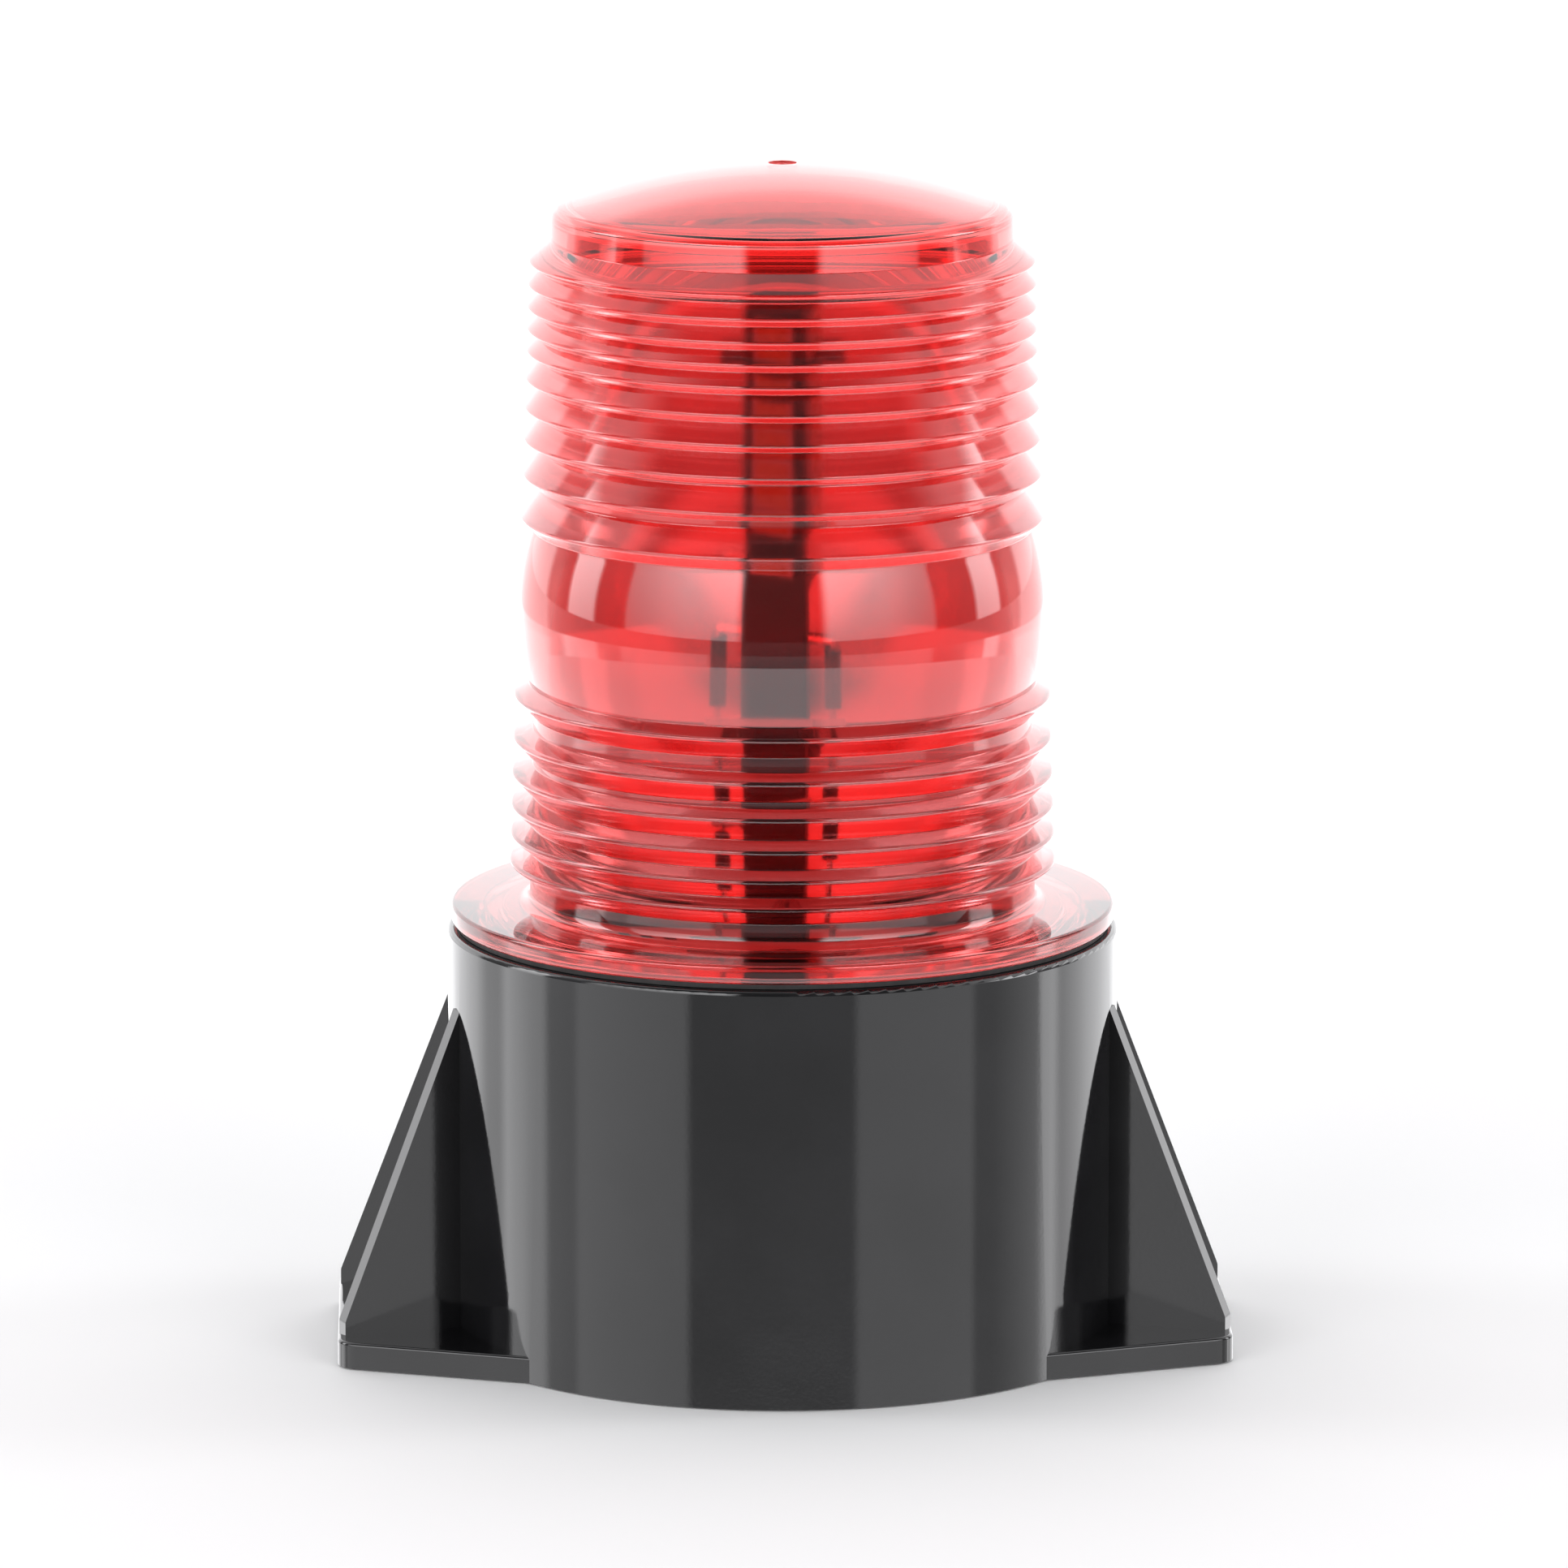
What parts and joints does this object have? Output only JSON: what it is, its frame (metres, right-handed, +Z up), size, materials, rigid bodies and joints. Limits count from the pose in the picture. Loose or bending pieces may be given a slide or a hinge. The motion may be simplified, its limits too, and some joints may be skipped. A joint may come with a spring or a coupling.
{
  "type": "warning beacon with sounder",
  "caption": "Red ringed lens on a round black base with two gusseted mounting ears; a square lamp column stands inside and the lens screws off on a quick thread.",
  "frame": {"origin": "centre of the underside of the base, on the mounting surface", "axes": "+Z up along the lens axis, ears along X, cable outlet towards +Y"},
  "size_m": [0.1092, 0.082, 0.1454],
  "materials": {
    "black_shell": "polished moulded ABS",
    "cover_plastic": "satin moulded ABS",
    "red_lens": "transparent moulded polycarbonate",
    "rubber": "matt",
    "screw_steel": "zinc plated",
    "sounder_plastic": "satin",
    "brass": "bright",
    "lead_insulation": "extruded PVC",
    "green_board": "solder mask on glass fibre",
    "white_board": "white solder mask on glass fibre",
    "black_board": "black solder mask on glass fibre",
    "terminal_green": "moulded nylon",
    "fuse_glass": "glass tube with metal caps",
    "tinned_metal": "tinned",
    "capacitor_can": "printed sleeve on an aluminium can",
    "ferrite": "sintered ferrite",
    "copper": "enamelled copper wire",
    "component_black": "moulded epoxy",
    "heat_spreader": "brushed",
    "tower_black": "satin moulded nylon",
    "tower_pale": "moulded nylon",
    "lamp_package": "white moulded package",
    "lamp_window": "phosphor in clear resin"
  },
  "bodies": {
    "base": {"base_housing": "black_shell", "bottom_cover": "cover_plastic", "cover_screws": "screw_steel", "cover_seal": "rubber", "cable_grommet": "rubber", "sounder_case": "sounder_plastic", "sounder_disc": "brass", "sounder_ring": "sounder_plastic", "sounder_screws": "screw_steel", "sounder_leads": "lead_insulation", "power_board": "green_board", "power_board_screws": "screw_steel", "terminal_block": "terminal_green", "terminal_screws": "screw_steel", "fuse": "fuse_glass", "fuse_clips": "tinned_metal", "capacitors": "capacitor_can", "inductor_core": "ferrite", "inductor_winding": "copper", "diodes": "component_black", "transistor": "component_black", "heat_spreader": "heat_spreader", "lamp_board": "white_board", "lamp_board_screws": "screw_steel", "link_header": "component_black", "link_pins": "tinned_metal", "controller_chip": "component_black", "chip_resistors": "component_black", "stem_foot": "tower_black", "foot_rivets": "screw_steel", "feed_wires": "tinned_metal", "wire_sleeves": "tower_black", "wire_spacer": "tower_pale", "tower_stem": "tower_black", "tower_collar": "tower_black", "led_board_front": "black_board", "led_board_right": "black_board", "led_board_back": "black_board", "led_board_left": "black_board", "led_frames": "lamp_package", "led_windows": "lamp_window", "tower_plate": "tower_black", "tower_cap": "tower_black"},
    "seal": {"lens_seal": "rubber"},
    "lens": {"lens": "red_lens"}
  },
  "joints": [
    {"name": "lens_rise", "type": "slide", "parent": "base", "child": "seal", "axis": [0, 0, 1], "range_m": [0, 0.00201]},
    {"name": "lens_turn", "type": "hinge", "parent": "seal", "child": "lens", "pos_m": [0, 0, 0.05], "axis": [0, 0, 1], "range_deg": [0, 60]}
  ],
  "couplings": [
    {"joint": "lens_rise", "follows": "lens_turn", "m_per_rad": 0.0019099}
  ]
}
